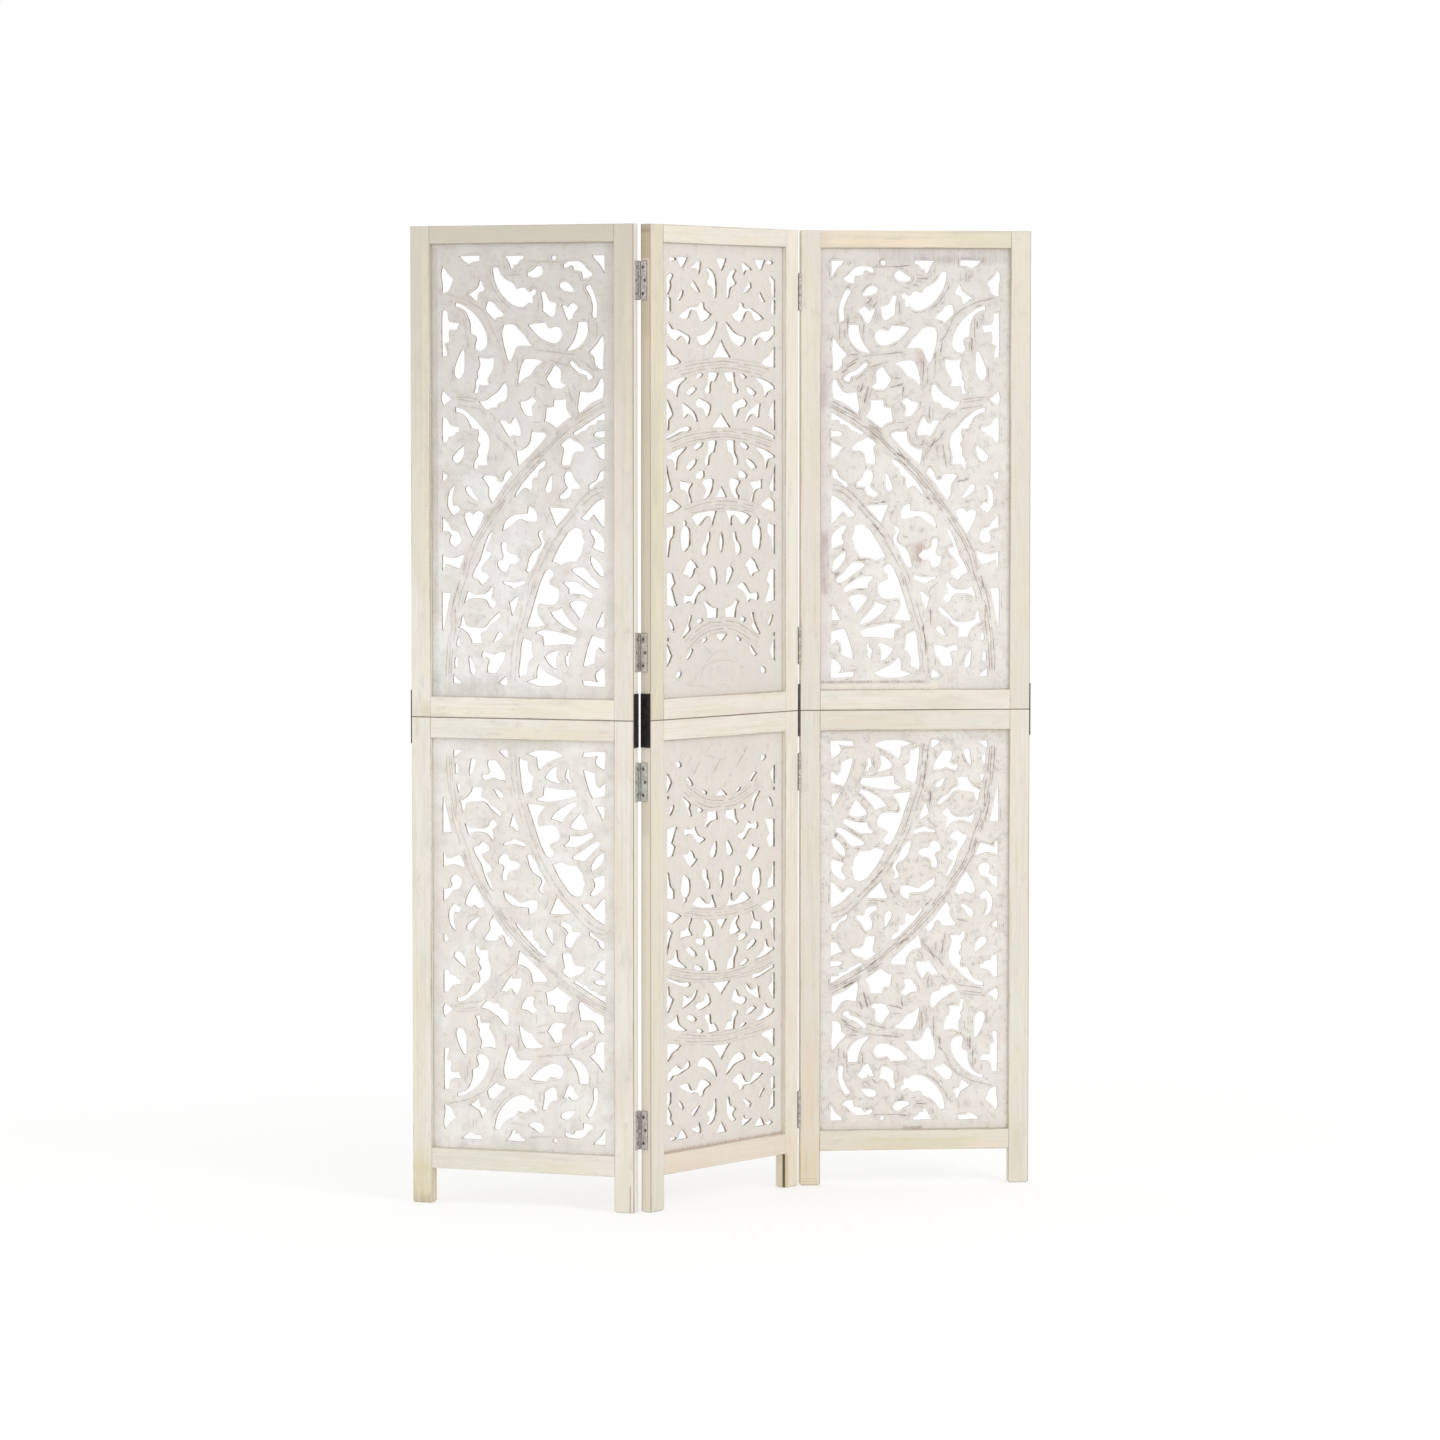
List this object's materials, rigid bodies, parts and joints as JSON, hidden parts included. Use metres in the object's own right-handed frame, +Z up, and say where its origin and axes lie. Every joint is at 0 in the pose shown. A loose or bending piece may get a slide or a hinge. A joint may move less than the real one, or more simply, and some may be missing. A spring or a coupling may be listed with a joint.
{
  "type": "folding carved room divider screen",
  "caption": "Free-standing folding room divider with hinged rectangular panels, each a framed pair of pierced, carved foliage boards on short square legs.",
  "frame": {"origin": "centre of the bounding box's bottom face, on the floor the feet stand on", "axes": "+Z up; +X to the viewer's right along the screen; -Y towards the viewer, where the ridge between the left and centre panels points"},
  "size_m": [1.0622, 0.3786, 1.65],
  "materials": {
    "frame_wood": "cream paint rubbed back over brown wood, matt",
    "fret_wood": "whitewashed carved board with grey-brown in the cuts, matt",
    "hinge_steel": "dull zinc-plated steel",
    "fold_hinge_steel": "dark bronzed steel, satin"
  },
  "bodies": {
    "centre_panel": {"centre_upper_left_stile": "frame_wood", "centre_upper_right_stile": "frame_wood", "centre_upper_top_rail": "frame_wood", "centre_upper_bottom_rail": "frame_wood", "centre_upper_fret": "fret_wood", "centre_lower_left_stile": "frame_wood", "centre_lower_right_stile": "frame_wood", "centre_lower_top_rail": "frame_wood", "centre_lower_bottom_rail": "frame_wood", "centre_lower_fret": "fret_wood", "centre_fold_hinge_leaves": "fold_hinge_steel", "centre_fold_hinge_links": "fold_hinge_steel", "centre_fold_hinge_rivets": "fold_hinge_steel", "centre_hinge_screws": "hinge_steel", "left_hinge_1_centre_leaf": "hinge_steel", "right_hinge_1_centre_leaf": "hinge_steel", "left_hinge_2_centre_leaf": "hinge_steel", "right_hinge_2_centre_leaf": "hinge_steel", "left_hinge_3_centre_leaf": "hinge_steel", "right_hinge_3_centre_leaf": "hinge_steel", "left_hinge_4_centre_leaf": "hinge_steel", "right_hinge_4_centre_leaf": "hinge_steel", "left_hinge_pins": "hinge_steel", "right_hinge_pins": "hinge_steel"},
    "left_panel": {"left_upper_left_stile": "frame_wood", "left_upper_right_stile": "frame_wood", "left_upper_top_rail": "frame_wood", "left_upper_bottom_rail": "frame_wood", "left_upper_fret": "fret_wood", "left_lower_left_stile": "frame_wood", "left_lower_right_stile": "frame_wood", "left_lower_top_rail": "frame_wood", "left_lower_bottom_rail": "frame_wood", "left_lower_fret": "fret_wood", "left_fold_hinge_leaves": "fold_hinge_steel", "left_fold_hinge_links": "fold_hinge_steel", "left_fold_hinge_rivets": "fold_hinge_steel", "left_hinge_screws": "hinge_steel", "left_hinge_1_left_leaf": "hinge_steel", "left_hinge_2_left_leaf": "hinge_steel", "left_hinge_3_left_leaf": "hinge_steel", "left_hinge_4_left_leaf": "hinge_steel"},
    "right_panel": {"right_upper_left_stile": "frame_wood", "right_upper_right_stile": "frame_wood", "right_upper_top_rail": "frame_wood", "right_upper_bottom_rail": "frame_wood", "right_upper_fret": "fret_wood", "right_lower_left_stile": "frame_wood", "right_lower_right_stile": "frame_wood", "right_lower_top_rail": "frame_wood", "right_lower_bottom_rail": "frame_wood", "right_lower_fret": "fret_wood", "right_fold_hinge_leaves": "fold_hinge_steel", "right_fold_hinge_links": "fold_hinge_steel", "right_fold_hinge_rivets": "fold_hinge_steel", "right_hinge_screws": "hinge_steel", "right_hinge_1_right_leaf": "hinge_steel", "right_hinge_2_right_leaf": "hinge_steel", "right_hinge_3_right_leaf": "hinge_steel", "right_hinge_4_right_leaf": "hinge_steel"}
  },
  "joints": [
    {"name": "left_panel_swing", "type": "hinge", "parent": "centre_panel", "child": "left_panel", "pos_m": [-0.14462, -0.16818, 0.825], "axis": [0, 0, 1], "range_deg": [-109, 70.5]},
    {"name": "right_panel_swing", "type": "hinge", "parent": "centre_panel", "child": "right_panel", "pos_m": [0.1301, 0.128, 0.825], "axis": [0, 0, 1], "range_deg": [-134.5, 45]}
  ]
}
